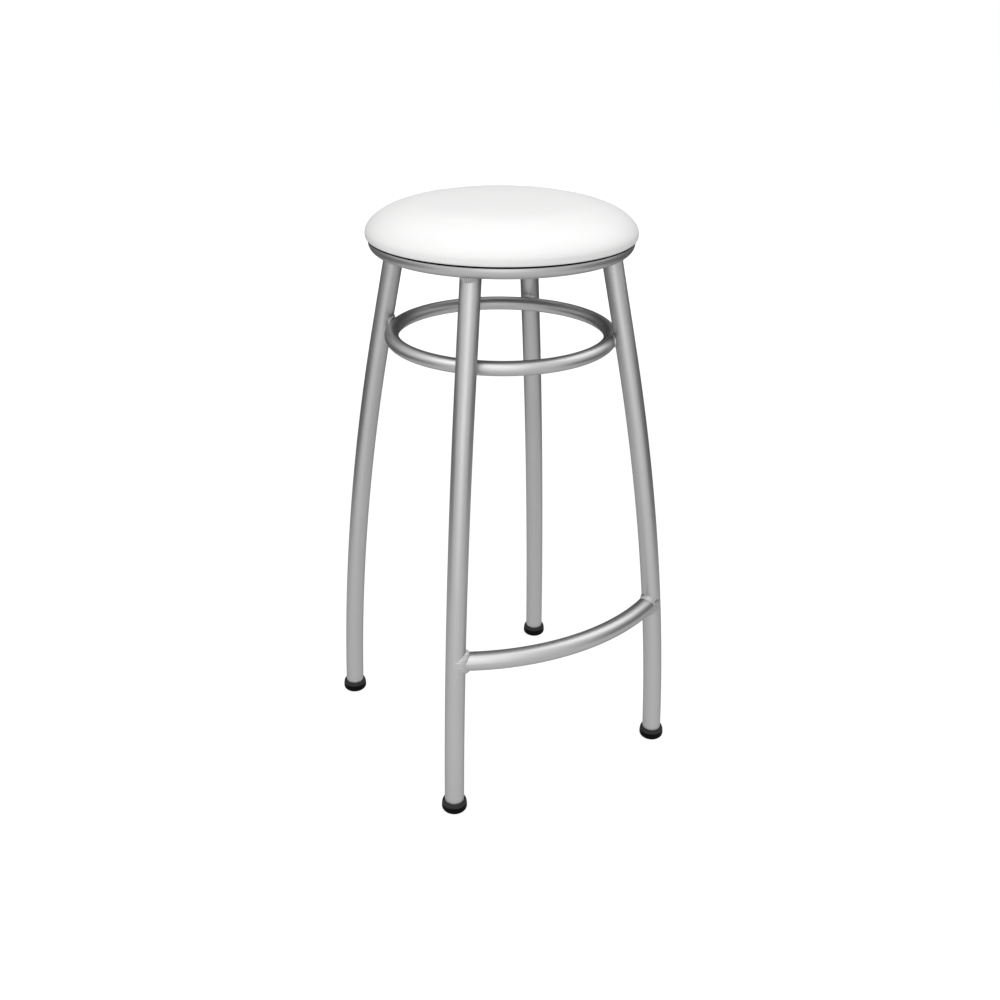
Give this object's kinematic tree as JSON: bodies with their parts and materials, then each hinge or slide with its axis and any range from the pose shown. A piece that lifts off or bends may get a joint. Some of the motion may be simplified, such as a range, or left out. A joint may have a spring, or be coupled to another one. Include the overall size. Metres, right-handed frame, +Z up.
{
  "type": "counter stool",
  "caption": "Backless stool with a round padded seat on a welded tube frame with bent legs, hoops and a curved footrest.",
  "frame": {"origin": "on the floor, in the middle of the stool's outer box; the seat's axis stands 12.4 mm behind it because the footrest reaches forwards", "axes": "+Z up, -Y towards the footrest side, +X to the right of someone who looks along +Y from the footrest side"},
  "size_m": [0.3556, 0.3804, 0.752],
  "materials": {
    "painted_steel": "satin silver-grey powder coat",
    "white_vinyl": "smooth semi-matt white vinyl",
    "foam": "open-cell foam",
    "plywood": "raw plywood",
    "black_cloth": "non-woven dust cloth",
    "black_gasket": "matt",
    "black_rubber": "matt to satin moulded rubber",
    "zinc_steel": "zinc plated"
  },
  "bodies": {
    "root": {"base_cloth": "black_cloth", "fixing_tab_back": "painted_steel", "fixing_tab_front": "painted_steel", "fixing_tab_left": "painted_steel", "fixing_tab_right": "painted_steel", "foot_cap_back_left": "black_rubber", "foot_cap_back_right": "black_rubber", "foot_cap_front_left": "black_rubber", "foot_cap_front_right": "black_rubber", "foot_washer_back_left": "zinc_steel", "foot_washer_back_right": "zinc_steel", "foot_washer_front_left": "zinc_steel", "foot_washer_front_right": "zinc_steel", "footrest": "painted_steel", "footrest_weld_left": "painted_steel", "footrest_weld_right": "painted_steel", "leg_back_left": "painted_steel", "leg_back_right": "painted_steel", "leg_front_left": "painted_steel", "leg_front_right": "painted_steel", "lower_ring": "painted_steel", "lower_weld_back_left": "painted_steel", "lower_weld_back_right": "painted_steel", "lower_weld_front_left": "painted_steel", "lower_weld_front_right": "painted_steel", "ring_gasket": "black_gasket", "seat_board": "plywood", "seat_cover": "white_vinyl", "seat_foam": "foam", "seat_screw_back": "zinc_steel", "seat_screw_front": "zinc_steel", "seat_screw_left": "zinc_steel", "seat_screw_right": "zinc_steel", "seat_washer_back": "zinc_steel", "seat_washer_front": "zinc_steel", "seat_washer_left": "zinc_steel", "seat_washer_right": "zinc_steel", "tab_weld_back": "painted_steel", "tab_weld_front": "painted_steel", "tab_weld_left": "painted_steel", "tab_weld_right": "painted_steel", "tee_nut_back": "zinc_steel", "tee_nut_front": "zinc_steel", "tee_nut_left": "zinc_steel", "tee_nut_right": "zinc_steel", "top_ring": "painted_steel", "top_weld_back_left": "painted_steel", "top_weld_back_right": "painted_steel", "top_weld_front_left": "painted_steel", "top_weld_front_right": "painted_steel"}
  },
  "joints": []
}
